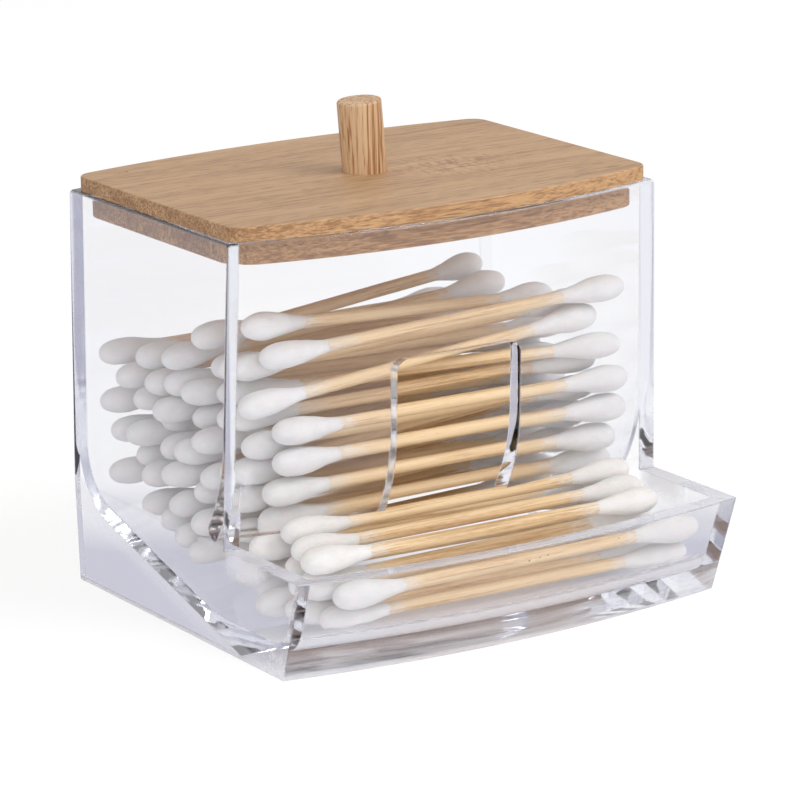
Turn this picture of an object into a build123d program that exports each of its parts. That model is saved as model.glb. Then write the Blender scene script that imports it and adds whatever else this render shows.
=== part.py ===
from build123d import *
import math
import os

# Cotton swab storage box: a clear moulded box with a dispensing tray, a bamboo lid with a dowel
# knob, and the cotton swabs that lie in it. Millimetres, +Z up, front towards -Y, X across the front.
# The origin is under the middle of the plan, on the surface that the box stands on.

# Driving dimensions of the box
rim_width = 90.0
seam_width = 92.6
base_width = 91.8
rim_z = 74.3
tray_rim_z = 19.0
wall = 3.3
hopper_depth = 57.5
hopper_lean = 2.4
back_bow = 4.5
front_bow = 6.7
tray_bow = 4.8
tray_reach = 25.7
tray_lean = 7.0
rim_round = 0.6

# Driving dimensions of the floor
floor_angle = 15.6
floor_thickness = 3.15
foot_height = 5.6
floor_knee_y = -8.5
knee_radius = 30.0
back_curve_radius = 11.0
tray_curve_radius = 6.0

# Driving dimensions of the front wall and its finger notch
bend_z = 37.0
bend_radius = 34.0
bend_angle = 33.0
lip_round = 1.2
notch_width = 26.0
notch_middle_x = -1.2
notch_top_z = 50.0
notch_corner = 2.2

# Driving dimensions of the lid and its knob
plate_thickness = 2.7
plate_inset = 0.9
plate_corner = 3.5
plug_depth = 4.6
plug_clearance = 0.4
plug_corner = 4.5
edge_softening = 0.35
knob_diameter = 8.2
knob_height = 13.3
knob_hole_depth = 5.5
knob_clearance = 0.04
knob_lean = 4.0
knob_edge = 0.5

# Driving dimensions of the swabs
swab_length = 75.0
stick_diameter = 2.2
bud_diameter = 5.5
bud_length = 15.0
bud_neck_diameter = 2.7
bud_tip_diameter = 2.4
socket_depth = 11.0
socket_clearance = 0.02
swab_gap = 0.15
end_play = 2.2
stick_sides = 6
bud_sides = 8

# How the swabs are laid
swabs_per_row = 6
touch = 0.01
curve_steps = 10
move_step = 0.5
move_steps = 6
lift_step = 0.4
lift_steps = 16
fill_tries = 12
fill_top = 45.0
fill_turn = 3.0
fill_beat = 2.1
shift_beat = 3.7
golden_share = 0.618034

# Sizes worked out from the driving dimensions
total_depth = hopper_depth - hopper_lean + tray_reach + back_bow + tray_bow
back_y = total_depth / 2 - back_bow
front_rim_y = back_y - hopper_depth
front_seam_y = front_rim_y + hopper_lean
tray_rim_y = front_seam_y - tray_reach
tray_base_y = tray_rim_y + tray_lean
floor_slope = math.tan(math.radians(floor_angle))
under_drop = floor_thickness / math.cos(math.radians(floor_angle))
under_y = floor_knee_y - (foot_height - under_drop) / floor_slope
lid_centre_y = (back_y + back_bow + front_rim_y - front_bow) / 2
beyond = 200.0


def bow_radius(width, bow):
    """Radius of an arc that spans the width and stands out by the bow."""
    return (width * width / 4 + bow * bow) / (2 * bow)


back_radius = bow_radius(rim_width, back_bow)
front_radius = bow_radius(rim_width, front_bow)
tray_radius = bow_radius(seam_width, tray_bow)
back_axis_y = back_y + back_bow - back_radius
front_axis_y = front_rim_y - front_bow + front_radius
tray_axis_y = tray_rim_y - tray_bow + tray_radius


def between_sides(inset):
    """Bar between the drafted side walls, moved in by inset, from the base to the rim."""
    right = [
        (base_width / 2 - inset, 0),
        (seam_width / 2 - inset, tray_rim_z),
        (rim_width / 2 - inset, rim_z),
    ]
    left = [(-x, z) for x, z in reversed(right)]
    section = Plane.XZ * make_face(Polyline(*right, *left, close=True))
    return extrude(section, beyond, both=True)


def bow_at(x, width, bow):
    """How far an arc of that width and bow stands out at x."""
    radius = bow_radius(width, bow)
    return math.sqrt(radius * radius - x * x) - (radius - bow)


def ahead_of_back(inset):
    """Everything ahead of the bowed back face, moved in by inset."""
    return Pos(0, back_axis_y, rim_z / 2) * Cylinder(back_radius - inset, 2 * rim_z)


def behind_tray_front(inset):
    """Everything behind the tray's leaning, bowed front face, moved in by inset square to it."""
    slope = tray_lean / tray_rim_z
    flat_inset = inset * math.hypot(1, slope)
    low = tray_radius - flat_inset - slope * 2 * tray_rim_z
    high = tray_radius - flat_inset + slope * rim_z
    height = rim_z + 2 * tray_rim_z
    return Pos(0, tray_axis_y, rim_z / 2) * Cone(low, high, height)


def across(points, half_width, first_corner=0.0):
    """Bar across the box with a section given by (y, z) points, the first corner rounded if asked."""
    face = make_face(Polyline(*points, close=True))
    if first_corner:
        face = fillet(face.vertices().sort_by_distance(points[0])[0], first_corner)
    return extrude(Plane.YZ * face, half_width, both=True)


def lowest_back_edge(solid):
    """The edge where the sloping floor meets the bowed back."""
    edges = [edge for edge in solid.edges() if edge.center().Y > back_y - wall]
    return min(edges, key=lambda edge: edge.center().Z)


def make_sheet():
    """Back wall, sloping floor, foot and tray front, moulded as one curved sheet."""
    outside = across([
        (under_y, 0), (-beyond, 0), (-beyond, tray_rim_z), (0, tray_rim_z), (0, rim_z),
        (beyond, rim_z), (beyond, (beyond - under_y) * floor_slope),
    ], seam_width)
    outside = outside & ahead_of_back(0) & behind_tray_front(0)
    outside = fillet(lowest_back_edge(outside), back_curve_radius + wall)
    inside = across([
        (floor_knee_y, foot_height), (-beyond, foot_height), (-beyond, 2 * rim_z),
        (beyond, 2 * rim_z), (beyond, foot_height + (beyond - floor_knee_y) * floor_slope),
    ], seam_width, knee_radius)
    inside = inside & ahead_of_back(wall) & behind_tray_front(wall)
    inside = fillet(lowest_back_edge(inside), back_curve_radius)
    tray_edge = min(inside.edges(), key=lambda edge: edge.center().Y + edge.center().Z)
    inside = fillet(tray_edge, tray_curve_radius)
    return outside - inside


def make_side_walls():
    """Two flat side walls: tall at the back, low beside the tray, with straight front edges."""
    outline = across([
        (back_y, 0), (back_y, rim_z), (front_rim_y, rim_z), (front_seam_y, tray_rim_z),
        (tray_rim_y, tray_rim_z), (tray_base_y, 0),
    ], seam_width)
    return outline & (between_sides(0) - between_sides(wall))


def make_front_wall():
    """Bowed front wall that bends back to a rounded lip, with the finger notch cut through it."""
    lean = math.atan2(hopper_lean, rim_z - tray_rim_z)
    inward = Vector(math.cos(lean), math.sin(lean))
    down = Vector(math.sin(lean), -math.cos(lean))
    rim_point = Vector(front_rim_y - front_bow, rim_z)
    top = rim_point - down * wall
    bend = rim_point + down * ((rim_z - bend_z) / math.cos(lean))
    outer_line = Line(top, bend)
    outer_bend = JernArc(bend, down, bend_radius, bend_angle)
    inner_line = Line(top + inward * wall, bend + inward * wall)
    inner_bend = JernArc(bend + inward * wall, down, bend_radius - wall, bend_angle)
    lip = Line(outer_bend @ 1, inner_bend @ 1)
    cap = Line(top, top + inward * wall)
    face = make_face([outer_line, outer_bend, lip, inner_bend, inner_line, cap])
    face = fillet(face.vertices().sort_by(Axis.Y)[:2], lip_round)
    axis = Axis((0, front_axis_y, 0), (0, 0, 1))
    shell = revolve(Plane.YZ * face, axis=axis) & between_sides(0)
    notch = Rectangle(notch_width, notch_top_z, align=(Align.CENTER, Align.MAX))
    notch = fillet(notch.vertices(), notch_corner)
    cutter = extrude(Plane.XZ * Pos(notch_middle_x, notch_top_z) * notch, beyond, both=True)
    return shell - cutter


def make_box_body():
    """The clear box, moulded in one piece."""
    body = (make_sheet() & between_sides(0)) + make_side_walls() + make_front_wall()
    rim = [edge for edge in body.edges() if edge.bounding_box().min.Z > rim_z - touch]
    outer = [edge for edge in rim if is_outer_rim(edge.center())]
    return fillet(outer, rim_round)


def is_outer_rim(point):
    """True for a point on the outer edge of the rim, not on its inner edge."""
    half = wall / 2
    return (
        abs(point.X) > rim_width / 2 - half
        or point.Y > back_y + back_bow - half
        or point.Y < front_rim_y - front_bow + half
    )


def lid_plan(inset, front_inset, corner):
    """Plan of the lid inside the rim's outer edge, with bowed long sides and round corners."""
    plan = Rectangle(rim_width - 2 * inset, beyond)
    plan = plan & Pos(0, back_axis_y) * Circle(back_radius - inset)
    plan = plan & Pos(0, front_axis_y) * Circle(front_radius - front_inset)
    return fillet(plan.vertices(), corner)


def knob_axis():
    """Place at the foot of the knob, on top of the plate, turned to the knob's lean."""
    return Pos(0, lid_centre_y, rim_z + plate_thickness) * Rot(0, -knob_lean, 0)


def make_lid_board():
    """Bamboo board: a plate that lies on the rim and a plug that drops inside it."""
    plate = Pos(0, 0, rim_z) * extrude(lid_plan(plate_inset, plate_inset, plate_corner), plate_thickness)
    plate = fillet(plate.faces().sort_by(Axis.Z)[-1].edges(), edge_softening)
    inset = wall + plug_clearance
    front_inset = inset + plug_depth * hopper_lean / (rim_z - tray_rim_z)
    plug = Pos(0, 0, rim_z - plug_depth) * extrude(lid_plan(inset, front_inset, plug_corner), plug_depth)
    plug = fillet(plug.faces().sort_by(Axis.Z)[0].edges(), edge_softening)
    hole = Cylinder(knob_diameter / 2 + knob_clearance, 2 * knob_hole_depth)
    return plate + plug - knob_axis() * hole


def make_knob_dowel():
    """Bamboo dowel glued into the board's hole, leaning as it was glued."""
    length = knob_hole_depth - knob_clearance + knob_height
    rod = Cylinder(knob_diameter / 2, length, align=(Align.CENTER, Align.CENTER, Align.MIN))
    rod = fillet(rod.edges().sort_by(Axis.Z)[-1], knob_edge)
    return knob_axis() * Pos(0, 0, knob_clearance - knob_hole_depth) * rod


# Profile of a bud along its length: shares of the length from its neck, with diameters there
bud_profile = [
    (0.0, bud_neck_diameter),
    (0.66, bud_diameter),
    (0.88, 0.8 * bud_diameter),
    (1.0, bud_tip_diameter),
]


def faceted(diameter, sides):
    """Section with flat sides and its corners on the circle of that diameter."""
    return RegularPolygon(diameter / 2, sides)


def ring(diameter, z):
    """Corners of a bud's section at height z."""
    turn = 2 * math.pi / bud_sides
    radius = diameter / 2
    return [Vector(radius * math.cos(k * turn), radius * math.sin(k * turn), z) for k in range(bud_sides)]


def make_bud():
    """Cotton bud along +Z from its neck, with a blind socket for the stick."""
    rings = [ring(size, share * bud_length) for share, size in bud_profile]
    outlines = [rings[0], rings[-1]]
    for low, high in zip(rings, rings[1:]):
        for k in range(bud_sides):
            after = (k + 1) % bud_sides
            outlines.append([low[k], low[after], high[after], high[k]])
    body = Solid(Shell([Face(Wire.make_polygon(outline)) for outline in outlines]))
    socket = extrude(faceted(stick_diameter + 2 * socket_clearance, stick_sides), socket_depth)
    return (body - socket).solid()


def make_stick():
    """Wooden stick along +Z, from the end of one bud's socket to the end of the other's."""
    length = swab_length - 2 * (bud_length - socket_depth) - 2 * socket_clearance
    return extrude(faceted(stick_diameter, stick_sides), length / 2, both=True).solid()


# A swab lies along X. Its ends are followed at the widest part of its buds, and the curved walls
# are taken nearer the tips, where they come closest
end_x = swab_length / 2 - bud_length * (1 - bud_profile[1][0])
tip_x = swab_length / 2
reach = bud_diameter / 2 + swab_gap / 2
tray_slope = tray_lean / tray_rim_z
tray_face_y = tray_base_y - bow_at(tip_x, seam_width, tray_bow) + wall * math.hypot(1, tray_slope)
rear_face_y = back_y + bow_at(tip_x, rim_width, back_bow) - wall

# Swabs that show, as they lie: y and z of the left end, y and z of the right end, and how far the
# swab is moved to the right
tray_swabs = [
    (-28.0, 8.4, -32.4, 8.4, 2.0),
    (-22.3, 8.4, -26.5, 8.4, 1.0),
    (-16.5, 8.4, -20.6, 8.4, -1.5),
    (-10.8, 8.4, -14.8, 8.4, 2.5),
    (-31.0, 13.4, -33.6, 13.6, 3.0),
    (-24.6, 13.2, -24.6, 13.6, 0.5),
    (-16.3, 13.6, -17.6, 13.8, 2.8),
]
hopper_swabs = [
    (-1.4, 16.5, 2.5, 14.1, 0.0),
    (-8.5, 15.0, -8.0, 15.0, 2.5),
    (-2.7, 22.3, -3.8, 22.5, 0.0),
    (-8.0, 20.5, -7.6, 20.5, 3.0),
    (34.0, 21.0, 33.0, 20.5, -3.0),
    (23.0, 26.0, 25.0, 24.0, -2.0),
    (13.5, 25.5, 11.0, 26.0, -3.0),
    (-9.6, 26.5, -8.2, 24.0, 2.2),
    (-2.0, 27.1, -3.0, 28.0, 0.0),
    (34.0, 30.5, 30.0, 29.0, -2.5),
    (26.0, 31.2, 21.0, 30.0, -3.0),
    (17.5, 29.8, 19.0, 34.0, -1.0),
    (9.0, 33.0, 5.0, 31.0, -2.0),
    (-12.0, 32.0, -10.2, 29.0, 3.6),
    (-6.8, 33.6, -5.5, 33.5, 0.5),
    (35.0, 35.5, 33.0, 37.0, -3.5),
    (27.0, 37.0, 26.0, 41.0, -1.5),
    (15.5, 38.0, 13.0, 36.0, -2.5),
    (-12.8, 37.6, -12.4, 37.8, 3.6),
    (-2.5, 38.0, -7.6, 38.9, 0.0),
    (21.0, 41.0, 17.0, 42.0, -2.0),
    (4.0, 41.0, -12.4, 44.0, 2.5),
    (8.5, 43.0, 3.0, 40.0, -1.0),
    (-8.0, 44.6, -10.5, 43.1, -2.0),
    (31.0, 40.3, 30.5, 41.5, -2.5),
    (35.2, 44.0, 34.0, 43.5, -3.6),
    (25.0, 45.5, 22.0, 47.0, -1.5),
    (-4.5, 49.0, -5.6, 48.0, -0.7),
    (13.0, 49.5, 18.7, 51.0, -2.5),
    (-10.0, 51.0, -12.5, 50.6, 2.5),
    (6.5, 53.5, 24.5, 51.8, -2.5),
    (1.0, 46.5, 5.0, 46.0, 1.0),
    (-6.5, 56.5, 5.0, 51.0, -0.5),
]


def inside_z(y):
    """Height of the inside of the box at y: tray front, flat floor, slope and back wall."""
    if y >= rear_face_y:
        return 2 * rim_z
    slope_z = foot_height + max(0.0, y - floor_knee_y) * floor_slope
    return max(slope_z, (tray_face_y - y) / tray_slope, tray_curve_z(y), back_curve_z(y))


def tray_curve_z(y):
    """Height of the curve between the flat floor and the tray's leaning front, or 0 away from it."""
    centre_z = foot_height + tray_curve_radius
    centre_y = tray_face_y - tray_slope * centre_z + tray_curve_radius * math.hypot(1, tray_slope)
    tangent_y = centre_y - tray_curve_radius / math.hypot(1, tray_slope)
    if not tangent_y < y < centre_y:
        return 0.0
    return centre_z - math.sqrt(tray_curve_radius ** 2 - (y - centre_y) ** 2)


def back_curve_z(y):
    """Height of the curve between the sloping floor and the back wall, or 0 away from it."""
    centre_y = rear_face_y - back_curve_radius
    centre_z = foot_height + (centre_y - floor_knee_y) * floor_slope
    centre_z += back_curve_radius * math.hypot(1, floor_slope)
    tangent_y = centre_y + back_curve_radius * math.sin(math.radians(floor_angle))
    if not tangent_y < y < rear_face_y:
        return 0.0
    return centre_z - math.sqrt(back_curve_radius ** 2 - (y - centre_y) ** 2)


def front_inside_y(z, bend=0.0):
    """Inner face of the front wall at height z, where the tips of the buds come closest to it."""
    lean = hopper_lean * (rim_z - max(z, bend_z)) / (rim_z - tray_rim_z)
    return front_axis_y - math.sqrt((front_radius - wall - lean - bend) ** 2 - tip_x ** 2)


def lip_points():
    """Points on the inner face of the front wall's bend, which buds in the hopper keep clear of."""
    radius = bend_radius - wall
    angles = [math.radians(bend_angle * step / curve_steps) for step in range(curve_steps + 1)]
    return [
        (front_inside_y(bend_z, radius * (1 - math.cos(angle))), bend_z - radius * math.sin(angle), reach)
        for angle in angles
    ]


def in_tray(y, z):
    """True for a resting place in the tray."""
    return tray_face_y - tray_lean < y < floor_knee_y and z < tray_rim_z


def in_hopper(y, z):
    """True for a resting place between the front wall and the back wall."""
    return front_inside_y(z) + reach <= y <= rear_face_y - reach


def rest_height(y, obstacles):
    """Lowest height at which a bud's widest part at y clears the box and the obstacles."""
    height = 0.0
    for step in range(-curve_steps, curve_steps + 1):
        across_y = step * reach / curve_steps
        height = max(height, inside_z(y + across_y) + math.sqrt(reach ** 2 - across_y ** 2))
    for other_y, other_z, distance in obstacles:
        gap = abs(y - other_y)
        if gap < distance:
            height = max(height, other_z + math.sqrt(distance ** 2 - gap ** 2))
    return height


# Shares of the way from the left to the right end, with the distance two swabs keep there
clearances = [(0.0, 2.0), (0.1, 1.75), (0.18, 1.2), (0.35, 0.95), (0.5, 0.95), (0.65, 0.95),
              (0.82, 1.2), (0.9, 1.75), (1.0, 2.0)]


def crossing_free(left, right, swabs):
    """True if the swab between these ends keeps clear of all the swabs, sticks included."""
    for other_left, other_right, _ in swabs:
        for share, factor in clearances:
            y = (left[0] - other_left[0]) * (1 - share) + (right[0] - other_right[0]) * share
            z = (left[1] - other_left[1]) * (1 - share) + (right[1] - other_right[1]) * share
            if math.hypot(y, z) < factor * reach - touch:
                return False
    return True


def places_near(wish_y, obstacles, fits):
    """Resting places (y, z) of one end around the wished y."""
    wishes = [wish_y + step * move_step for step in range(-move_steps, move_steps + 1)]
    places = [(y, rest_height(y, obstacles)) for y in wishes]
    return [place for place in places if fits(*place)]


def lay_swab(left_wish, right_wish, fits, swabs, fixed):
    """Resting place nearest to the wished ends, lifted where it crosses others, or None."""
    ends = []
    for side, wish in enumerate((left_wish, right_wish)):
        obstacles = fixed + [(*swab[side], 2 * reach) for swab in swabs]
        ends.append(places_near(wish[0], obstacles, fits))
    best = None
    for left in ends[0]:
        for right in ends[1]:
            miss = math.dist(left, left_wish) + math.dist(right, right_wish)
            if best and miss > best[0]:
                continue
            for lift in range(lift_steps):
                raised = [(y, z + lift * lift_step) for y, z in (left, right)]
                total = miss + lift * lift_step
                if best and total > best[0]:
                    break
                if crossing_free(*raised, swabs):
                    best = (total, *raised)
                    break
    return best and best[1:]


def far_from_wishes(place, wishes):
    """True if a filling swab leaves the room of the swabs that are still to come."""
    for side, end in enumerate(place):
        for wish in wishes:
            if math.dist(end, wish[2 * side:2 * side + 2]) < 2 * reach:
                return False
    return True


def fill(swabs, wishes, top):
    """Lay filling swabs at spread-out places in the hopper, as low as they go, up to the top."""
    front_y = front_inside_y(rim_z) + reach
    for _ in range(fill_tries):
        fill.count += 1
        wish_y = front_y + (fill.count * golden_share) % 1 * (rear_face_y - reach - front_y)
        turned_y = wish_y + fill_turn * math.sin(fill_beat * fill.count)
        place = lay_swab((wish_y, 0.0), (turned_y, 0.0), in_hopper, swabs, lip_points())
        if place and max(end[1] for end in place) < top and far_from_wishes(place, wishes):
            swabs.append((*place, end_play * math.sin(shift_beat * fill.count)))


fill.count = 0


def make_pile():
    """Resting places of all the swabs: the tray's first, then the hopper's from the bottom up."""
    swabs = []
    for wish in tray_swabs:
        swabs.append((*lay_swab(wish[:2], wish[2:4], in_tray, swabs, []), wish[4]))
    wishes = sorted(hopper_swabs, key=lambda wish: wish[1] + wish[3])
    for index, wish in enumerate(wishes):
        fill(swabs, wishes[index:], min((wish[1] + wish[3]) / 2 - reach, fill_top))
        swabs.append((*lay_swab(wish[:2], wish[2:4], in_hopper, swabs, lip_points()), wish[4]))
    return swabs


def swab_location(left, right, shift):
    """Place with +Z along the swab, at its middle."""
    start = Vector(shift - end_x, *left)
    finish = Vector(shift + end_x, *right)
    axis = (finish - start).normalized()
    side = axis.cross(Vector(0, 0, 1)).normalized()
    return Plane(origin=(start + finish) / 2, x_dir=side, z_dir=axis).location


def swab_rows(swabs, per_row):
    """Swabs sorted from the lowest to the highest and cut into rows."""
    ordered = sorted(swabs, key=lambda swab: swab[0][1] + swab[1][1])
    return [ordered[index:index + per_row] for index in range(0, len(ordered), per_row)]


def save(name, shape):
    export_step(shape, f"parts/{name}.step")


os.makedirs("parts", exist_ok=True)
save("box_body", make_box_body())
save("lid_board", make_lid_board())
save("knob_dowel", make_knob_dowel())
stick = make_stick()
bud = make_bud()
neck = Pos(0, 0, swab_length / 2 - bud_length)
for number, row in enumerate(swab_rows(make_pile(), swabs_per_row), 1):
    places = [swab_location(*swab) for swab in row]
    sticks = [place * stick for place in places]
    buds = [place * turn * neck * bud for place in places for turn in (Rot(0, 0, 0), Rot(180, 0, 0))]
    save(f"swab_sticks_{number:02d}", Compound(children=sticks))
    save(f"swab_buds_{number:02d}", Compound(children=buds))
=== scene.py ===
"""Looks of a cotton swab storage box: clear plastic, a bamboo lid and cotton swabs.

They are built around its CAD frame, in metres.
"""
import math
import random

import bmesh
import bpy
from bpy.props import FloatProperty, FloatVectorProperty, IntProperty, PointerProperty
from mathutils import Matrix, Vector, noise


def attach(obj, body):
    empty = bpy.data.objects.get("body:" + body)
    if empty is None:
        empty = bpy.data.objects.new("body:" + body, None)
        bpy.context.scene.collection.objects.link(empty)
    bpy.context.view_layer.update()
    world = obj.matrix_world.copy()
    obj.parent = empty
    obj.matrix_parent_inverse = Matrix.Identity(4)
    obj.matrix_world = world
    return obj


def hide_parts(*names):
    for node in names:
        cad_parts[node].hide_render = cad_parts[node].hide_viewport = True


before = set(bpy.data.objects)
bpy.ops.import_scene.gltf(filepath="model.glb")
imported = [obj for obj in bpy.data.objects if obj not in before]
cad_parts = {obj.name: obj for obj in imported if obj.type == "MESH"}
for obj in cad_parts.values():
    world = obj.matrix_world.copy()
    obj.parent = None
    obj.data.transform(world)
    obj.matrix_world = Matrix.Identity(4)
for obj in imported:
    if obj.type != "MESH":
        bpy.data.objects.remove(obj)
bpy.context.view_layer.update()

bl_info = {
    "name": "Cotton Swab Box Looks",
    "version": (1, 0, 0),
    "blender": (4, 5, 0),
    "location": "View3D > Sidebar > Swab Box",
    "description": "Dresses a clear swab box with its plastic, bamboo, cotton and studio",
    "category": "Object",
}

MM = 0.001
BOX_NODE = "box_body"
BOARD_NODE = "lid_board"
KNOB_NODE = "knob_dowel"
STICK_NODES = sorted(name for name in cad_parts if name.startswith("swab_sticks_"))
TAU = 2 * math.pi
WHITE = (1, 1, 1, 1)


# Shader building


class Value:
    """A shader number or colour, so that sums of numbers can be written with Python's operators."""

    def __init__(self, surface, socket):
        self.surface = surface
        self.socket = socket

    def maths(self, operation, *others):
        return self.surface.node("ShaderNodeMath", {"operation": operation}, [self, *others])

    def __add__(self, other):
        return self.maths("ADD", other)

    __radd__ = __add__

    def __sub__(self, other):
        return self.maths("SUBTRACT", other)

    def __rsub__(self, other):
        return self.surface.node("ShaderNodeMath", {"operation": "SUBTRACT"}, [other, self])

    def __mul__(self, other):
        return self.maths("MULTIPLY", other)

    __rmul__ = __mul__

    def __truediv__(self, other):
        return self.maths("DIVIDE", other)

    def __rtruediv__(self, other):
        return self.surface.node("ShaderNodeMath", {"operation": "DIVIDE"}, [other, self])


class Surface:
    """A node tree of a material or the world, with one method that adds any node."""

    def __init__(self, tree):
        self.tree = tree
        self.tree.nodes.clear()

    def node(self, kind, settings=None, inputs=None, output=0):
        """Adds a node, sets it up, fills its sockets with values or links. Returns an output."""
        made = self.tree.nodes.new(kind)
        for name, setting in (settings or {}).items():
            if name == "stops":
                self.set_stops(made.color_ramp, setting)
            else:
                setattr(made, name, setting)
        filled = enumerate(inputs) if isinstance(inputs, list) else (inputs or {}).items()
        shown = [socket for socket in made.inputs if socket.enabled]
        for key, content in filled:
            socket = shown[key] if isinstance(key, int) else next(s for s in shown if s.name == key)
            if isinstance(content, Value):
                self.tree.links.new(content.socket, socket)
            else:
                socket.default_value = content
        outputs = [socket for socket in made.outputs if socket.enabled]
        if isinstance(output, int):
            return Value(self, outputs[output])
        return Value(self, next(socket for socket in outputs if socket.name == output))

    @staticmethod
    def set_stops(ramp, stops):
        while len(ramp.elements) < len(stops):
            ramp.elements.new(1.0)
        for element, (place, colour) in zip(ramp.elements, stops):
            element.position = place
            element.color = (*colour, 1.0) if len(colour) == 3 else colour

    def place(self, output="Object"):
        return self.node("ShaderNodeTexCoord", output=output)

    def attribute(self, name, output="Vector"):
        return self.node("ShaderNodeAttribute", {"attribute_name": name}, output=output)

    def part_of(self, vector, axis):
        """The X, Y or Z of a vector."""
        return self.node("ShaderNodeSeparateXYZ", None, [vector], axis)

    def vector_maths(self, operation, *inputs, output=0):
        return self.node("ShaderNodeVectorMath", {"operation": operation}, list(inputs), output)

    def stretched(self, vector, scale):
        return self.vector_maths("MULTIPLY", vector, scale)

    def distance(self, place, centre, scale=(1.0, 1.0, 1.0)):
        """Distance of a place from a centre, with the axes scaled."""
        moved = self.vector_maths("SUBTRACT", place, centre)
        return self.vector_maths("LENGTH", self.stretched(moved, scale), output="Value")

    def noise(self, vector, scale=1.0, detail=2.0, roughness=0.5, distortion=0.0):
        return self.node("ShaderNodeTexNoise", None, {
            "Vector": vector, "Scale": scale, "Detail": detail, "Roughness": roughness,
            "Distortion": distortion,
        })

    def between(self, value, low, high, to_low=0.0, to_high=1.0):
        """The value taken from one range to another, and held inside it."""
        return self.node("ShaderNodeMapRange", {"clamp": True}, [value, low, high, to_low, to_high])

    def mix(self, share, first, second, blend="MIX"):
        """A mix of two colours."""
        settings = {"data_type": "RGBA", "blend_type": blend}
        return self.node("ShaderNodeMix", settings, [share, first, second])

    def mix_shaders(self, share, first, second):
        return self.node("ShaderNodeMixShader", None, [share, first, second])

    def ray(self, kind):
        """1 for rays of this kind, such as Is Shadow Ray, and 0 for others."""
        return self.node("ShaderNodeLightPath", output=kind)

    def bump(self, height, strength, distance, under=None):
        """A normal bumped by the height, over another normal if one is given."""
        inputs = {"Height": height, "Strength": strength, "Distance": distance}
        if under:
            inputs["Normal"] = under
        return self.node("ShaderNodeBump", None, inputs)

    def principled(self, **inputs):
        named = {key.replace("_", " "): content for key, content in inputs.items()}
        return self.node("ShaderNodeBsdfPrincipled", None, named)

    def finish(self, shader, kind="ShaderNodeOutputMaterial", volume=None):
        output = self.tree.nodes.new(kind)
        self.tree.links.new(shader.socket, output.inputs["Surface"])
        if volume:
            self.tree.links.new(volume.socket, output.inputs["Volume"])


def new_material(name):
    """A material with an empty node tree, and the Surface that builds it."""
    material = bpy.data.materials.new(name)
    material.use_nodes = True
    return material, Surface(material.node_tree)


def opaque(colour):
    """The colour with full alpha."""
    return (*colour, 1.0)


# Settings that a user would change


class SwabBoxPlastic(bpy.types.PropertyGroup):
    """Clear plastic of the box."""

    tint: FloatVectorProperty(
        name="Tint", description="Colour of the clear plastic", subtype="COLOR", size=3,
        default=(0.985, 0.987, 0.995), min=0, max=1)
    deep_tint: FloatVectorProperty(
        name="Deep Tint", description="Colour that long ways through the plastic take on",
        subtype="COLOR", size=3, default=(0.62, 0.64, 0.74), min=0, max=1)
    deep_density: FloatProperty(
        name="Depth", description="How fast the plastic takes on its deep tint", default=8.0, min=0)
    bending: FloatProperty(
        name="Index of Refraction", description="How strongly the plastic bends light",
        default=1.55, min=1, max=2)
    smear: FloatProperty(
        name="Smear", description="Roughness of handled places", default=0.03, min=0, max=1,
        subtype="FACTOR")
    edge_round: FloatProperty(
        name="Edge Round", description="Radius of the moulded edges", default=0.45 * MM,
        subtype="DISTANCE", unit="LENGTH")
    foot_haze: FloatProperty(
        name="Foot Haze", description="Milkiness of the foot under the tray", default=0.4, min=0,
        max=1, subtype="FACTOR")
    corner_haze: FloatProperty(
        name="Corner Haze", description="Milkiness of the tray's upright corners", default=0.42,
        min=0, max=1, subtype="FACTOR")
    lip_haze: FloatProperty(
        name="Lip Haze", description="Milkiness of the ends of the front wall's bent lip",
        default=0.4, min=0, max=1, subtype="FACTOR")
    slope_haze: FloatProperty(
        name="Slope Haze", description="Milkiness of the sloping floor's edges", default=0.32,
        min=0, max=1, subtype="FACTOR")
    scuff: FloatProperty(
        name="Scuffed Foot", description="How matt the underside is that the box stands on",
        default=0.75, min=0, max=1, subtype="FACTOR")


class SwabBoxBamboo(bpy.types.PropertyGroup):
    """Bamboo of the lid and its knob."""

    board_pale: FloatVectorProperty(
        name="Board Pale", description="Palest fibres of the board", subtype="COLOR", size=3,
        default=(0.62, 0.395, 0.215), min=0, max=1)
    board_dark: FloatVectorProperty(
        name="Board Dark", description="Darkest fibres of the board", subtype="COLOR", size=3,
        default=(0.350, 0.195, 0.096), min=0, max=1)
    knob_pale: FloatVectorProperty(
        name="Knob Pale", description="Palest streaks of the knob", subtype="COLOR", size=3,
        default=(0.66, 0.425, 0.235), min=0, max=1)
    knob_dark: FloatVectorProperty(
        name="Knob Dark", description="Darkest streaks of the knob", subtype="COLOR", size=3,
        default=(0.29, 0.125, 0.05), min=0, max=1)
    gloss: FloatProperty(
        name="Roughness", description="Roughness of the sanded bamboo", default=0.55, min=0, max=1,
        subtype="FACTOR")


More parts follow.
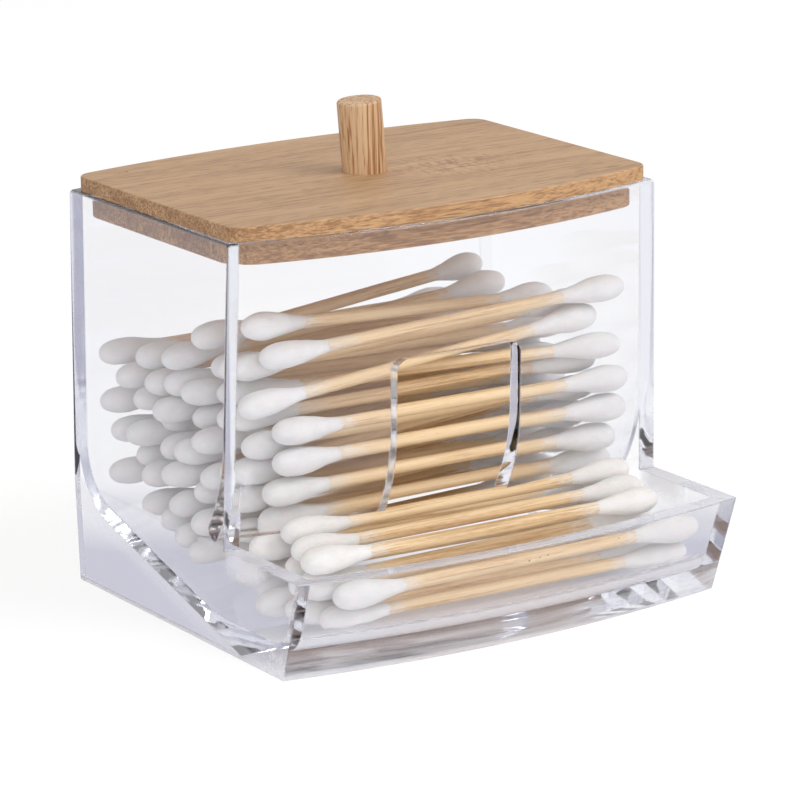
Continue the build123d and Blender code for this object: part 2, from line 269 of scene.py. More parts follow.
class SwabBoxSwabs(bpy.types.PropertyGroup):
    """Sticks and cotton buds."""

    stick_diameter: FloatProperty(
        name="Stick Diameter", description="Diameter of a stick", default=2.4 * MM,
        subtype="DISTANCE", unit="LENGTH")
    bud_diameter: FloatProperty(
        name="Bud Diameter", description="Widest diameter of a cotton bud", default=5.35 * MM,
        subtype="DISTANCE", unit="LENGTH")
    bud_length: FloatProperty(
        name="Bud Length", description="Length of a cotton bud", default=15.0 * MM,
        subtype="DISTANCE", unit="LENGTH")
    bud_past_stick: FloatProperty(
        name="Bud Past Stick", description="Cotton beyond the end of the stick", default=4.0 * MM,
        subtype="DISTANCE", unit="LENGTH")
    fibres: IntProperty(
        name="Loose Fibres", description="Fibres that stand off each bud", default=46, min=0)
    wood_pale: FloatVectorProperty(
        name="Wood Pale", description="Palest grain of a stick", subtype="COLOR", size=3,
        default=(0.84, 0.61, 0.36), min=0, max=1)
    wood_dark: FloatVectorProperty(
        name="Wood Dark", description="Darkest grain of a stick", subtype="COLOR", size=3,
        default=(0.52, 0.31, 0.145), min=0, max=1)
    cotton: FloatVectorProperty(
        name="Cotton", description="Colour of the cotton", subtype="COLOR", size=3,
        default=(0.86, 0.84, 0.82), min=0, max=1)


class SwabBoxStudio(bpy.types.PropertyGroup):
    """Floor, lamps and camera."""

    floor_size: FloatProperty(
        name="Floor Size", description="Side of the floor", default=6.0, unit="LENGTH")
    daylight: FloatProperty(
        name="World Light", description="Light of the world on the object", default=0.62, min=0)
    key_power: FloatProperty(
        name="Key Lamp", description="Power of the lamp on the right", default=8.8, unit="POWER")
    fill_power: FloatProperty(
        name="Fill Lamp", description="Power of the lamp on the left", default=4.95, unit="POWER")
    card: FloatVectorProperty(
        name="Card", description="Colour of the card around the floor that clear parts mirror",
        subtype="COLOR", size=3, default=(0.56, 0.56, 0.64), min=0, max=1)
    focal_length: FloatProperty(
        name="Focal Length", description="Focal length of the camera, in millimetres",
        default=191.83, min=1)


# Meshes


def new_piece(name, shape, material, body, slot, *nodes):
    """Makes an object of a bmesh, which rides on a body and stands for CAD nodes."""
    mesh = bpy.data.meshes.new(name)
    shape.to_mesh(mesh)
    shape.free()
    mesh.shade_smooth()
    mesh.materials.append(material)
    piece = bpy.data.objects.new(name, mesh)
    bpy.context.scene.collection.objects.link(piece)
    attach(piece, body)
    if nodes:
        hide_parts(*nodes)
    return piece


def islands(shape):
    """Lists of vertices of a bmesh that hang together, each in the order of their numbers."""
    shape.verts.index_update()
    left = set(shape.verts)
    found = []
    while left:
        todo = [left.pop()]
        group = []
        while todo:
            vertex = todo.pop()
            group.append(vertex)
            near = {edge.other_vert(vertex) for edge in vertex.link_edges} & left
            left -= near
            todo.extend(near)
        found.append(sorted(group, key=lambda vertex: vertex.index))
    return found


def middle(points):
    """Mean of the points."""
    return sum(points, Vector()) / len(points)


def stick_ends(node):
    """Left and right end of the middle line of each stick in a CAD node."""
    shape = bmesh.new()
    shape.from_mesh(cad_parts[node].data)
    bmesh.ops.remove_doubles(shape, verts=shape.verts, dist=1e-6)
    ends = []
    for group in islands(shape):
        points = [vertex.co.copy() for vertex in group]
        centre = middle(points)
        axis = max((point - centre for point in points), key=lambda way: way.length)
        sides = [
            middle([point for point in points if (point - centre).dot(axis) * sign > 0])
            for sign in (-1, 1)
        ]
        ends.append(sorted(sides, key=lambda end: end.x))
    shape.free()
    return sorted(ends, key=lambda pair: (round(pair[0].z, 5), pair[0].y))


def along(start, finish):
    """Matrix that takes +Z to the way from start to finish, and the origin to start."""
    way = (finish - start).normalized()
    turn = way.to_track_quat("Z", "Y").to_matrix().to_4x4()
    return Matrix.Translation(start) @ turn


# Share of a bud's length from its neck, with its share of the widest radius there
BUD_SHAPE = [
    (0.00, 0.425), (0.04, 0.44), (0.10, 0.47), (0.18, 0.53), (0.26, 0.61), (0.34, 0.70),
    (0.42, 0.80), (0.50, 0.89), (0.57, 0.95), (0.64, 0.99), (0.70, 1.00), (0.76, 0.98),
    (0.82, 0.93), (0.87, 0.85), (0.915, 0.74), (0.95, 0.60), (0.975, 0.44), (0.99, 0.27),
    (1.0, 0.08),
]
BUD_SIDES = 28
BUD_FATNESS = (0.94, 1.0)
BUD_SLACK = 0.04
MOST_LEAN = 0.05
LUMP = 0.05
SMALL_LUMP = 0.025
SMALL_LUMP_SCALE = 2.7

# Share of cotton over the wood at a bud's neck, and how fast it closes from there
NECK_VEIL = 0.5
VEIL_RISE = 2.6

# Reach in millimetres, and how much a fibre bends back and thins at each step
FIBRE_REACH = (0.25, 0.8)
FIBRE_RADIUS = 0.016 * MM
FIBRE_STEPS = 3
FIBRE_SIDES = 3
FIBRE_BEND = 0.35
FIBRE_TAPER = 0.25
FIBRE_DEPTH = 0.97

# Stray cotton on the stick past each bud, in millimetres
STRAY_REACH = (4.0, 9.0)
STICK_SIDES = 16
STICK_WAVE = 0.03

# Swabs that lie on top of those in the tray and have no CAD node, in millimetres: y and z where
# the left bud is widest, y and z where the right bud is, and how far they are shifted along X
TOP_SWABS = [
    ((-21.4, 18.7), (-21.0, 18.4), 1.0),
    ((-28.0, 18.5), (-29.0, 18.2), -1.0),
    ((-16.0, 20.4), (-15.6, 20.1), 2.2),
    ((-11.1, 17.0), (-11.7, 15.0), -1.5),
]
TOP_STICK_LENGTH = 66.96
WIDEST_X = 32.4


def top_stick_ends(left, right, shift):
    """Ends of the stick of a swab that lies on top of those in the tray."""
    start, finish = Vector((shift - WIDEST_X, *left)), Vector((shift + WIDEST_X, *right))
    half = (finish - start).normalized() * TOP_STICK_LENGTH / 2
    centre = (start + finish) / 2
    return (centre - half) * MM, (centre + half) * MM


def swab_rows():
    """Name, CAD stick nodes and stick ends of each row of swabs. The top row has no CAD node."""
    rows = [(node.rsplit("_", 1)[-1], [node], stick_ends(node)) for node in STICK_NODES]
    return rows + [("top", [], [top_stick_ends(*swab) for swab in TOP_SWABS])]


def own_seed(chance):
    """A random shift, so that no bud or stick has the same noise as another."""
    return 37.0 * chance.random() * 100


def new_skin():
    """An empty bmesh and its layers: where a point lies on its swab, and its share of cotton."""
    shape = bmesh.new()
    shape.verts.layers.float_vector.new("lay")
    shape.verts.layers.float.new("veil")
    return shape, (shape.verts.layers.float_vector["lay"], shape.verts.layers.float["veil"])


def add_point(shape, matrix, local, layers, seed, cover):
    """Adds a vertex with its place on the swab, in millimetres, and its share of cotton."""
    lay, veil = layers
    vertex = shape.verts.new(matrix @ local)
    vertex[lay] = (local.x / MM, local.y / MM, local.z / MM + seed)
    vertex[veil] = cover
    return vertex


def join_rows(shape, rows):
    """Lays faces between rings of vertices that have as many vertices each."""
    for low, high in zip(rows, rows[1:]):
        for k in range(len(low)):
            after = (k + 1) % len(low)
            shape.faces.new((low[k], low[after], high[after], high[k]))


def add_rings(shape, matrix, rings, sides, layers, seed):
    """Adds a closed lathed skin. Each ring is its height, its radius at an angle and its cover."""
    rows = []
    for height, radius, cover in rings:
        row = []
        for k in range(sides):
            angle = TAU * k / sides
            size = radius(angle)
            local = Vector((size * math.cos(angle), size * math.sin(angle), height))
            row.append(add_point(shape, matrix, local, layers, seed, cover))
        rows.append(row)
    join_rows(shape, rows)
    shape.faces.new(list(reversed(rows[0])))
    shape.faces.new(rows[-1])


def add_bud(shape, neck, tip, settings, layers, chance):
    """Adds one bud: wound cotton with soft lumps, and fibres that stand off it."""
    matrix = along(neck, tip)
    length = (tip - neck).length
    seed = own_seed(chance)
    fat = chance.uniform(*BUD_FATNESS) * settings.bud_diameter / 2
    lean = chance.uniform(0.0, MOST_LEAN)
    lean_angle = chance.uniform(0, TAU)

    def radius_at(share, factor):
        def radius(angle):
            place = Vector((2.0 * math.cos(angle), 2.0 * math.sin(angle), share * 5.0 + seed))
            small = noise.noise(place * SMALL_LUMP_SCALE) * SMALL_LUMP
            lump = noise.noise(place) * LUMP + small
            swing = lean * math.cos(angle - lean_angle) * math.sin(math.pi * share)
            return fat * factor * (1 - BUD_SLACK + lump - swing)
        return radius

    rings = [
        (share * length, radius_at(share, factor), min(1.0, NECK_VEIL + share * VEIL_RISE))
        for share, factor in BUD_SHAPE
    ]
    add_rings(shape, matrix, rings, BUD_SIDES, layers, seed)
    for _ in range(settings.fibres):
        add_fibre(shape, matrix, length, fat, layers, seed, chance)


def bud_factor(share):
    """Share of the widest radius at a share of a bud's length."""
    for (low, first), (high, second) in zip(BUD_SHAPE, BUD_SHAPE[1:]):
        if share <= high:
            return first + (second - first) * (share - low) / (high - low)
    return 0.0


def add_fibre(shape, matrix, length, fat, layers, seed, chance):
    """Adds one loose cotton fibre that leaves the bud, bends and lies back."""
    share = chance.uniform(0.02, 0.97) ** 1.3
    angle = chance.uniform(0, TAU)
    size = fat * bud_factor(share) * FIBRE_DEPTH
    start = Vector((size * math.cos(angle), size * math.sin(angle), share * length))
    out = Vector((math.cos(angle), math.sin(angle), 0))
    around = Vector((-math.sin(angle), math.cos(angle), 0))
    reach = chance.uniform(*FIBRE_REACH) * MM
    way = (out * chance.uniform(0.25, 0.8) + around * chance.uniform(-1, 1)
           + Vector((0, 0, chance.uniform(-1, 0.6)))).normalized()
    points = [start]
    for _ in range(FIBRE_STEPS):
        points.append(points[-1] + way * reach / FIBRE_STEPS)
        way = (way - out * FIBRE_BEND + around * chance.uniform(-0.4, 0.4)).normalized()
    rows = []
    for index, point in enumerate(points):
        thick = FIBRE_RADIUS * (1 - FIBRE_TAPER * index)
        row = []
        for k in range(FIBRE_SIDES):
            turn = TAU * k / FIBRE_SIDES
            local = point + (out * math.cos(turn) + around * math.sin(turn)) * thick
            row.append(add_point(shape, matrix, local, layers, seed, 1.0))
        rows.append(row)
    join_rows(shape, rows)


def add_stick(shape, start, finish, settings, layers, chance):
    """Adds one birch stick, a little uneven as such sticks are, with stray cotton near the buds."""
    matrix = along(start, finish)
    length = (finish - start).length
    seed = own_seed(chance)
    neck = settings.bud_length - settings.bud_past_stick
    stray = chance.uniform(*STRAY_REACH) * MM
    half = [0, neck, neck + stray / 3, neck + stray, 0.35 * length, length / 2]
    heights = half + [length - height for height in reversed(half[:-1])]
    radius = settings.stick_diameter / 2

    def radius_at(share):
        def size(angle):
            place = Vector((math.cos(angle), math.sin(angle), share * 4 + seed))
            return radius * (1 - STICK_WAVE / 2 + STICK_WAVE * noise.noise(place))
        return size

    def cover_at(height):
        away = min(height, length - height) - neck
        return NECK_VEIL * max(0.0, 1 - max(0.0, away) / stray)

    rings = [(height, radius_at(height / length), cover_at(height)) for height in heights]
    add_rings(shape, matrix, rings, STICK_SIDES, layers, seed)


# Materials


# Places on the box, in metres. A pair is the stretch over which a finish comes or goes
UNDERSIDE_Z = (0.00002, 0.00006)
FOOT_TOP_Z = (0.0040, 0.0064)
FOOT_BACK_Y = (-0.030, -0.020)
SIDE_WALL_X = (0.0405, 0.0415)
SIDE_OUTSIDE_X = (0.0425, 0.0432)
TRAY_FRONT_Y = (-0.043, -0.040)

# Middle of the front wall's bent lip, and how far its haze reaches from there
LIP_Y, LIP_DEPTH = -0.021, (0.0050, 0.0065)
LIP_Z, LIP_HEIGHT = 0.024, (0.0070, 0.0100)

# Slope of the floor, its height at y = 0, and its edges' haze from under it to above it
FLOOR_RISE = 0.28
FLOOR_Z = 0.0080
LEDGE_UNDER = (-0.0055, -0.0035)
LEDGE_OVER = (0.0002, 0.0012)

MOST_MATT = 0.9
MATT_COLOUR = (0.88, 0.87, 0.9, 1)
TRAY_SPECKS = [
    (-0.0017, -0.0437, 0.0166), (0.0005, -0.0437, 0.0168), (0.0021, -0.0437, 0.0170),
    (0.0178, -0.0430, 0.0172),
]
TRAY_SPECK_COLOUR = (0.05, 0.04, 0.035, 1)
SPECK_STRENGTH = 0.85


def matt_places(surface, place, settings):
    """Share of matt plastic on the scuffed underside, the streaked foot and the moulded corners."""
    side = surface.part_of(place, "X").maths("ABSOLUTE")
    depth = surface.part_of(place, "Y")
    height = surface.part_of(place, "Z")
    scuffed = surface.between(height, *UNDERSIDE_Z, settings.scuff, 0.0)
    streaks = surface.noise(surface.stretched(place, (14, 500, 500)), detail=2, roughness=0.6)
    foot = surface.between(height, *FOOT_TOP_Z, settings.foot_haze, 0.0)
    foot = foot * surface.between(depth, *FOOT_BACK_Y, 1.0, 0.0)
    foot = foot * surface.between(streaks, 0.40, 0.62, 0.6, 1.25)
    corner = surface.between(depth, *TRAY_FRONT_Y, settings.corner_haze, 0.0)
    from_lip = (depth - LIP_Y).maths("ABSOLUTE")
    lip = surface.between(from_lip, *LIP_DEPTH, settings.lip_haze, 0.0)
    lip = lip * surface.between((height - LIP_Z).maths("ABSOLUTE"), *LIP_HEIGHT, 1.0, 0.0)
    over_floor = height - depth * FLOOR_RISE - FLOOR_Z
    ledge = surface.between(over_floor, *LEDGE_UNDER, 0.0, settings.slope_haze)
    ledge = ledge * surface.between(over_floor, *LEDGE_OVER, 1.0, 0.0)
    ledge = ledge * surface.between(side, *SIDE_OUTSIDE_X)
    return scuffed + foot + surface.between(side, *SIDE_WALL_X) * (corner + lip) + ledge


def speck_share(surface, place, spots, scale, reach):
    """Share of dark speck around each spot. reach is where a speck starts to fade and its end."""
    share = 0.0
    for spot in spots:
        away = surface.distance(place, spot, scale)
        share = surface.between(away, *reach, SPECK_STRENGTH, 0.0) + share
    return share


def make_clear_plastic(settings):
    """Clear moulded plastic with a faint lilac depth, slight smears and matt places."""
    material, surface = new_material("clear_plastic")
    place = surface.place()
    smears = surface.noise(surface.stretched(place, (60, 60, 25)), detail=2)
    roughness = surface.between(smears, 0.62, 0.78, 0.0, settings.smear)
    edges = surface.node("ShaderNodeBevel", {"samples": 2}, [settings.edge_round])
    ripple = surface.noise(surface.stretched(place, (70, 70, 40)), detail=1)
    clean = surface.principled(
        Base_Color=opaque(settings.tint), Roughness=roughness, IOR=settings.bending,
        Transmission_Weight=1.0, Normal=surface.bump(ripple, 0.06, 0.0006, edges))
    speck = speck_share(surface, place, TRAY_SPECKS, (1.0, 0.3, 1.0), (0.00016, 0.0003))
    matt = (matt_places(surface, place, settings) + speck).maths("MINIMUM", MOST_MATT)
    worn = surface.node("ShaderNodeBsdfDiffuse", None, {
        "Color": surface.mix(speck, MATT_COLOUR, TRAY_SPECK_COLOUR),
    })
    glass = surface.mix_shaders(matt, clean, worn)
    clear = surface.node("ShaderNodeBsdfTransparent", None, {"Color": opaque(settings.tint)})
    inner = surface.mix_shaders(surface.ray("Is Diffuse Ray"), glass, clear)
    shader = surface.mix_shaders(surface.ray("Is Shadow Ray"), inner, clear)
    depth = surface.node("ShaderNodeVolumeAbsorption", None, {
        "Color": opaque(settings.deep_tint), "Density": settings.deep_density,
    })
    surface.finish(shader, volume=depth)
    return material


SCUFF_PLACE = (0.0155, 0.005, 0.077)
LID_SPECK = (-0.0353, 0.0364, 0.077)
LID_SPECK_COLOUR = (0.03, 0.02, 0.015, 1)
BOARD_TONE = 0.575
# Multiplied into upright faces: the sawn edges' warmer tone, and painted shade for the plate's
# overhang above the plug's front
SIDE_TINT_AND_SHADE = (0.95, 0.87, 0.77, 1)


def make_board_bamboo(settings):
    """Pressed bamboo with its grain along X, dotted end grain, a scuffed patch, a speck and painted
    shade on its upright faces.
    """
    material, surface = new_material("board_bamboo")
    place = surface.place()
    facing = surface.place("Normal")
    pale, dark = settings.board_pale, settings.board_dark

    def grain_noise(scale, **options):
        return surface.noise(surface.stretched(place, scale), **options)

    bands = grain_noise((6, 130, 130), detail=3, roughness=0.6, distortion=0.3)
    streaks = grain_noise((55, 1500, 1500), detail=3, roughness=0.65)
    dashes = grain_noise((230, 3400, 3400), detail=2, roughness=0.7)
    pores = surface.between(grain_noise((200, 2400, 2400), detail=1), 0.62, 0.72)
    # Pale flecks along the grain, paler than the palest fibres
    pale_flecks = surface.between(
        grain_noise((160, 3000, 3000), detail=1, distortion=0.3), 0.62, 0.72)
    scuffs = grain_noise((1500, 330, 330), detail=3, roughness=0.7)
    patch = surface.between(
        surface.distance(place, SCUFF_PLACE, (1.0, 1.3, 1.0)), 0.004, 0.015, 1.0, 0.0)
    end_grain = surface.between(surface.part_of(facing, "X").maths("ABSOLUTE"), 0.5, 0.9)
    # Share of upright faces, which get stronger grain and painted shade
    sawn_and_shaded = surface.between(surface.part_of(facing, "Z").maths("ABSOLUTE"), 0.2, 0.8, 1.0, 0.0)
    dots = surface.between(grain_noise((2600, 2600, 2600), detail=1), 0.52, 0.60)

    tone = bands * 0.35 + streaks * 0.4 + dashes * 0.4 + patch * (scuffs - 0.5) * 0.95
    # Upright faces get stronger grain, and are a little darker as painted shade
    tone = (tone - BOARD_TONE) * (sawn_and_shaded * 0.9 + 1.0) + BOARD_TONE - sawn_and_shaded * 0.022
    grain = surface.node("ShaderNodeValToRGB", {"stops": [
        (0.46, dark), (0.57, [0.4 * a + 0.6 * b for a, b in zip(dark, pale)]), (0.70, pale),
    ]}, [tone])
    colour = surface.mix(pale_flecks * 0.35, grain, opaque([1.25 * c for c in pale]))
    colour = surface.mix(pores * 0.55, colour, opaque([0.5 * c for c in dark]))
    colour = surface.mix(end_grain * dots * 0.6, colour, opaque([0.35 * c for c in dark]))
    # Upright faces take on a warmer tone and painted shade
    colour = surface.mix(sawn_and_shaded, colour, SIDE_TINT_AND_SHADE, "MULTIPLY")
    speck = speck_share(surface, place, [LID_SPECK], (1.0, 1.0, 1.0), (0.0002, 0.00045))
    colour = surface.mix(speck, colour, LID_SPECK_COLOUR)
    relief = streaks * 0.5 + dashes * 0.6 - pores * 0.5 + patch * scuffs * 0.6
    roughness = surface.between(dashes, 0.3, 0.7, settings.gloss - 0.08, settings.gloss + 0.15)
    surface.finish(surface.principled(
        Base_Color=colour, Roughness=roughness, Normal=surface.bump(relief, 0.5, 0.0002)))
    return material


def make_knob_bamboo(settings):
    """Bamboo rod with straight streaks up its side and dots on its end."""
    material, surface = new_material("knob_bamboo")
    place = surface.place()
    streaks = surface.noise(surface.stretched(place, (2300, 2300, 5)), detail=2, roughness=0.7)
    fine = surface.noise(surface.stretched(place, (3600, 3600, 110)), detail=2, roughness=0.6)
    broad = surface.noise(surface.stretched(place, (330, 330, 6)), detail=1)
    tone = streaks * 0.8 + fine * 0.35 + broad * 0.2
    grain = surface.node("ShaderNodeValToRGB", {"stops": [
        (0.54, settings.knob_dark), (0.61, (0.46, 0.24, 0.11)), (0.67, settings.knob_pale),
        (0.80, (0.70, 0.49, 0.30)),
    ]}, [tone])
    roughness = surface.between(fine, 0.3, 0.7, settings.gloss - 0.1, settings.gloss + 0.1)
    surface.finish(surface.principled(
        Base_Color=grain, Roughness=roughness, Normal=surface.bump(streaks + fine, 0.4, 0.00015)))
    return material


def swab_surface(name):
    """A swab's material, its lay, its fine fibre noise and the share of cotton over the wood."""
    material, surface = new_material(name)
    lay = surface.attribute("lay")
    fibres = surface.noise(
        surface.stretched(lay, (3.0, 3.0, 1.2)), detail=4, roughness=0.7, distortion=1.2)
    wisps = surface.noise(surface.stretched(lay, (3.4, 3.4, 0.5)), detail=3, roughness=0.7)
    cover = surface.between(surface.attribute("veil", 2) + (wisps - 0.5) * 1.5, 0.25, 0.85)
    return material, surface, lay, fibres, cover


def wood_colour(surface, lay, settings):
    """Pale birch with streaks along each stick, and the relief of its grain."""
    broad = surface.noise(surface.stretched(lay, (0.35, 0.35, 0.03)), detail=2)
    streaks = surface.noise(surface.stretched(lay, (2.4, 2.4, 0.05)), detail=3, roughness=0.65)
    fine = surface.noise(surface.stretched(lay, (7.0, 7.0, 0.5)), detail=2)
    tone = broad * 0.5 + streaks * 0.5 + fine * 0.2
    grain = surface.node("ShaderNodeValToRGB", {"stops": [
        (0.44, settings.wood_dark), (0.60, settings.wood_pale), (0.74, (0.90, 0.70, 0.44)),
    ]}, [tone])
    return grain, streaks + fine


def cotton_with_painted_shade(surface, lay, fibres, settings):
    """Cotton with painted shade: a little darker between its lumps and fibres."""
    lumps = surface.noise(surface.stretched(lay, (0.5, 0.5, 0.35)), detail=2)
    # Painted shade where the fibre and lump noise is low, in the hollows of the fibre bump
    painted_crevice_shade = surface.between(fibres * 0.6 + lumps * 0.5, 0.35, 0.7)
    return surface.mix(painted_crevice_shade, opaque([0.88 * c for c in settings.cotton]), opaque(settings.cotton))


def make_stick_wood(settings):
    """Birch stick with stray cotton near its ends."""
    material, surface, lay, fibres, cover = swab_surface("stick_wood")
    grain, relief = wood_colour(surface, lay, settings)
    colour = surface.mix(cover, grain, cotton_with_painted_shade(surface, lay, fibres, settings))
    surface.finish(surface.principled(
        Base_Color=colour, Roughness=surface.between(relief, 0.7, 1.3, 0.5, 0.7),
        Normal=surface.bump(relief + cover * fibres * 2, 0.3, 0.0001)))
    return material


def make_cotton(settings):
    """Wound cotton: soft, faintly shining fibres, thin over the stick at the neck."""
    material, surface, lay, fibres, cover = swab_surface("cotton")
    grain, _ = wood_colour(surface, lay, settings)
    colour = surface.mix(cover, grain, cotton_with_painted_shade(surface, lay, fibres, settings))
    surface.finish(surface.principled(
        Base_Color=colour, Roughness=0.95, Subsurface_Weight=0.25, Subsurface_Scale=0.0015,
        Sheen_Weight=0.25, Sheen_Roughness=0.5, Normal=surface.bump(fibres, 0.6, 0.00015)))
    return material


# Way along the floor from the camera past the box, where clear parts see the white floor
BEHIND = (0.53, 0.85, 0)
FLOOR_PAINT = (0.87, 0.87, 0.87, 1)
THIN_PAINT = (0.33, 0.33, 0.33, 1)
FLOOR_GLOW = 0.74
CARD_GLOW = 1.08


def make_floor_material(settings):
    """White floor with a faint shadow. Clear parts see a greyer card, except behind the box."""
    material, surface = new_material("studio_floor")
    flat = surface.stretched(surface.place(), (1, 1, 0))
    reach = surface.vector_maths("LENGTH", flat, output="Value")
    ahead = surface.vector_maths("DOT_PRODUCT", flat, BEHIND, output="Value")
    behind = surface.between(ahead / (reach + 0.01), 0.40, 0.72)
    card = surface.mix(behind, opaque(settings.card), WHITE)
    paint = surface.node("ShaderNodeBsdfDiffuse", None, {"Color": FLOOR_PAINT})
    thin_paint = surface.node("ShaderNodeBsdfDiffuse", None, {"Color": THIN_PAINT})
    glow = surface.node("ShaderNodeEmission", None, {"Color": WHITE, "Strength": FLOOR_GLOW})
    card_glow = surface.node("ShaderNodeEmission", None, {"Color": card, "Strength": CARD_GLOW})
    white = surface.node("ShaderNodeAddShader", None, [thin_paint, glow])
    seen = surface.mix_shaders(surface.ray("Is Camera Ray"), card_glow, white)
    surface.finish(surface.mix_shaders(surface.ray("Is Diffuse Ray"), seen, paint))
    return material


# Operators


class SWABBOX_OT_box(bpy.types.Operator):
    """Give the box its clear plastic"""

    bl_idname = "swabbox.box"
    bl_label = "Clear Box"

    def execute(self, context):
        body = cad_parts[BOX_NODE]
        body.data.materials.clear()
        body.data.materials.append(make_clear_plastic(context.scene.swabbox_plastic))
        return {"FINISHED"}


class SWABBOX_OT_lid(bpy.types.Operator):
    """Give the board and the knob their bamboo"""

    bl_idname = "swabbox.lid"
    bl_label = "Bamboo Lid"

    def execute(self, context):
        settings = context.scene.swabbox_bamboo
        for node, make in ((BOARD_NODE, make_board_bamboo), (KNOB_NODE, make_knob_bamboo)):
            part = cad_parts[node]
            part.data.materials.clear()
            part.data.materials.append(make(settings))
        return {"FINISHED"}


class SWABBOX_OT_sticks(bpy.types.Operator):
    """Build the swabs' wooden sticks"""

    bl_idname = "swabbox.sticks"
    bl_label = "Swab Sticks"

    def execute(self, context):
        settings = context.scene.swabbox_swabs
        material = make_stick_wood(settings)
        for number, nodes, pairs in swab_rows():
            chance = random.Random(f"stick {number}")
            shape, layers = new_skin()
            for start, finish in pairs:
                add_stick(shape, start, finish, settings, layers, chance)
            new_piece(f"birch_sticks_{number}", shape, material, "box", "stick_wood", *nodes)
        return {"FINISHED"}


class SWABBOX_OT_buds(bpy.types.Operator):
    """Build the cotton buds at both ends of each stick"""

    bl_idname = "swabbox.buds"
    bl_label = "Cotton Buds"

    def execute(self, context):
        settings = context.scene.swabbox_swabs
        material = make_cotton(settings)
        for number, nodes, pairs in swab_rows():
            chance = random.Random(f"buds {number}")
            shape, layers = new_skin()
            for pair in pairs:
                for end, other in (pair, tuple(reversed(pair))):
                    way = (end - other).normalized()
                    tip = end + way * settings.bud_past_stick
                    neck = tip - way * settings.bud_length
                    add_bud(shape, neck, tip, settings, layers, chance)
            buds = [name.replace("sticks", "buds") for name in nodes]
            new_piece(f"cotton_buds_{number}", shape, material, "box", "cotton", *buds)
        return {"FINISHED"}


FLOOR_DROP = 0.1 * MM
LAMP_TARGET = Vector((0, 0, 0.045))
KEY_PLACE, KEY_SIZE = (0.72, -0.84, 1.10), 0.75
FILL_PLACE, FILL_SIZE = (-0.70, -1.13, 0.47), 0.9

# Brightness of the surroundings from the ground up, as the camera and clear parts see it
SKY = [
    (0.0, (0.36, 0.37, 0.44)), (0.12, (0.62, 0.62, 0.69)), (0.32, (0.97, 0.97, 1.0)),
    (0.62, (0.97, 0.97, 1.0)), (0.9, (0.45, 0.45, 0.5)),
]
SKY_STRENGTH = 1.1

CAMERA_PLACE = (-0.40003, -0.63731, 0.23509)
CAMERA_AZIMUTH, CAMERA_ELEVATION, CAMERA_ROLL = -32.11, 14.82, -1.13
SENSOR_WIDTH = 36.0


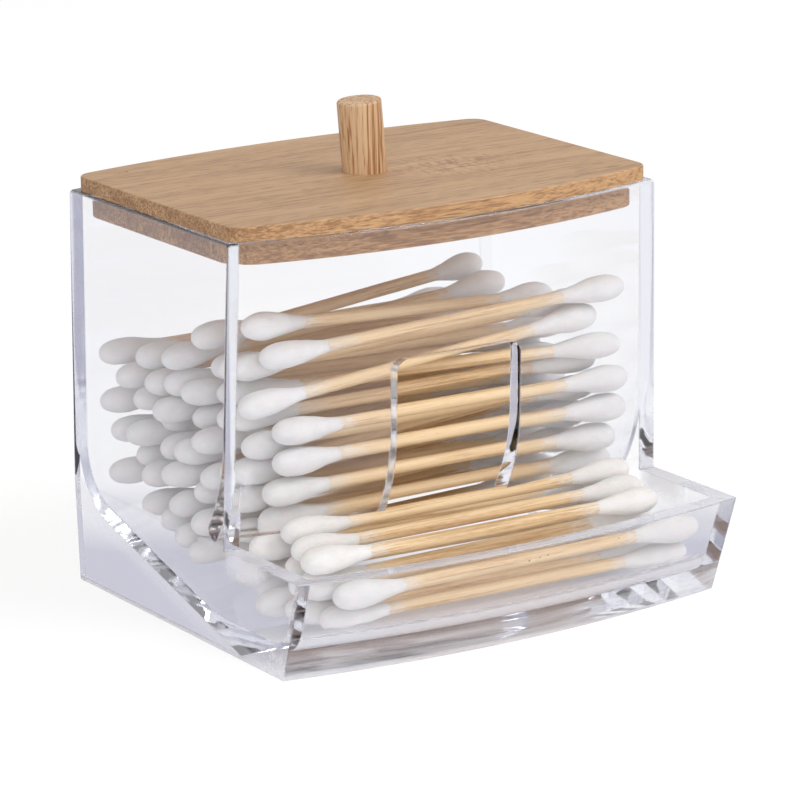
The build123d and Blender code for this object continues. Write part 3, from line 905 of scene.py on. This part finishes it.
class SWABBOX_OT_stage(bpy.types.Operator):
    """Set up the white floor, the soft lamps, the world and the camera"""

    bl_idname = "swabbox.stage"
    bl_label = "Stage"

    def execute(self, context):
        settings = context.scene.swabbox_studio
        self.lay_floor(context, settings)
        self.hang_lamps(context, settings)
        self.light_world(context, settings)
        self.place_camera(context, settings)
        context.scene.view_settings.view_transform = "Standard"
        self.allow_reflections(context.scene.cycles)
        return {"FINISHED"}

    def allow_reflections(self, cycles):
        """Light that is caught inside the clear walls is followed until it comes out."""
        cycles.max_bounces = 20
        cycles.diffuse_bounces = 3
        cycles.glossy_bounces = 14
        cycles.transmission_bounces = 16
        cycles.transparent_max_bounces = 16

    def lay_floor(self, context, settings):
        half = settings.floor_size / 2
        shape = bmesh.new()
        corners = ((-1, -1), (1, -1), (1, 1), (-1, 1))
        shape.faces.new([shape.verts.new((x * half, y * half, -FLOOR_DROP)) for x, y in corners])
        mesh = bpy.data.meshes.new("studio_floor")
        shape.to_mesh(mesh)
        shape.free()
        mesh.materials.append(make_floor_material(settings))
        floor = bpy.data.objects.new("studio_floor", mesh)
        context.scene.collection.objects.link(floor)

    def hang_lamps(self, context, settings):
        lamps = [
            ("key_lamp", KEY_PLACE, KEY_SIZE, settings.key_power),
            ("fill_lamp", FILL_PLACE, FILL_SIZE, settings.fill_power),
        ]
        for name, place, size, power in lamps:
            lamp = bpy.data.lights.new(name, "AREA")
            lamp.energy = power
            lamp.size = size
            holder = bpy.data.objects.new(name, lamp)
            holder.location = place
            way = LAMP_TARGET - Vector(place)
            holder.rotation_euler = way.to_track_quat("-Z", "Y").to_euler()
            context.scene.collection.objects.link(holder)

    def light_world(self, context, settings):
        world = bpy.data.worlds.new("studio_world")
        world.use_nodes = True
        context.scene.world = world
        surface = Surface(world.node_tree)
        up = surface.part_of(surface.place("Generated"), "Z")
        sky = surface.node("ShaderNodeValToRGB", {"stops": SKY}, [up])
        seen = surface.node("ShaderNodeBackground", None, {"Color": sky, "Strength": SKY_STRENGTH})
        light = surface.node("ShaderNodeBackground", None, {
            "Color": WHITE, "Strength": settings.daylight,
        })
        mirrored = surface.ray("Is Glossy Ray").maths("MAXIMUM", surface.ray("Is Transmission Ray"))
        direct = surface.ray("Is Camera Ray").maths("MAXIMUM", mirrored)
        surface.finish(surface.mix_shaders(direct, light, seen), "ShaderNodeOutputWorld")

    def place_camera(self, context, settings):
        lens = bpy.data.cameras.new("photo_camera")
        lens.lens = settings.focal_length
        lens.sensor_width = SENSOR_WIDTH
        camera = bpy.data.objects.new("photo_camera", lens)
        azimuth, elevation, roll = (
            math.radians(angle) for angle in (CAMERA_AZIMUTH, CAMERA_ELEVATION, CAMERA_ROLL))
        back = Vector((
            math.sin(azimuth) * math.cos(elevation),
            -math.cos(azimuth) * math.cos(elevation),
            math.sin(elevation),
        ))
        right = (-back).cross(Vector((0, 0, 1))).normalized()
        up = right.cross(-back)
        columns = (
            right * math.cos(roll) + up * math.sin(roll),
            up * math.cos(roll) - right * math.sin(roll),
            back,
        )
        turn = Matrix(columns).transposed().to_4x4()
        camera.matrix_world = Matrix.Translation(CAMERA_PLACE) @ turn
        context.scene.collection.objects.link(camera)
        context.scene.camera = camera


class SWABBOX_PT_looks(bpy.types.Panel):
    """Sizes, colours and steps of the swab box"""

    bl_label = "Swab Box"
    bl_idname = "SWABBOX_PT_looks"
    bl_space_type = "VIEW_3D"
    bl_region_type = "UI"
    bl_category = "Swab Box"

    def draw(self, context):
        for group, steps in (
            ("swabbox_plastic", ("box",)), ("swabbox_bamboo", ("lid",)),
            ("swabbox_swabs", ("sticks", "buds")), ("swabbox_studio", ("stage",)),
        ):
            box = self.layout.box()
            settings = getattr(context.scene, group)
            for name in settings.bl_rna.properties.keys():
                if name not in ("rna_type", "name"):
                    box.prop(settings, name)
            for step in steps:
                box.operator(f"swabbox.{step}")


SETTINGS = {
    "swabbox_plastic": SwabBoxPlastic,
    "swabbox_bamboo": SwabBoxBamboo,
    "swabbox_swabs": SwabBoxSwabs,
    "swabbox_studio": SwabBoxStudio,
}
CLASSES = (
    *SETTINGS.values(), SWABBOX_OT_box, SWABBOX_OT_lid, SWABBOX_OT_sticks, SWABBOX_OT_buds,
    SWABBOX_OT_stage, SWABBOX_PT_looks,
)


def register():
    for kind in CLASSES:
        bpy.utils.register_class(kind)
    for name, kind in SETTINGS.items():
        setattr(bpy.types.Scene, name, PointerProperty(type=kind))


def unregister():
    for name in SETTINGS:
        delattr(bpy.types.Scene, name)
    for kind in reversed(CLASSES):
        bpy.utils.unregister_class(kind)


def main():
    """Builds the whole scene."""
    register()
    bpy.ops.swabbox.box()
    bpy.ops.swabbox.lid()
    bpy.ops.swabbox.sticks()
    bpy.ops.swabbox.buds()
    bpy.ops.swabbox.stage()


if __name__ == "__main__":
    main()
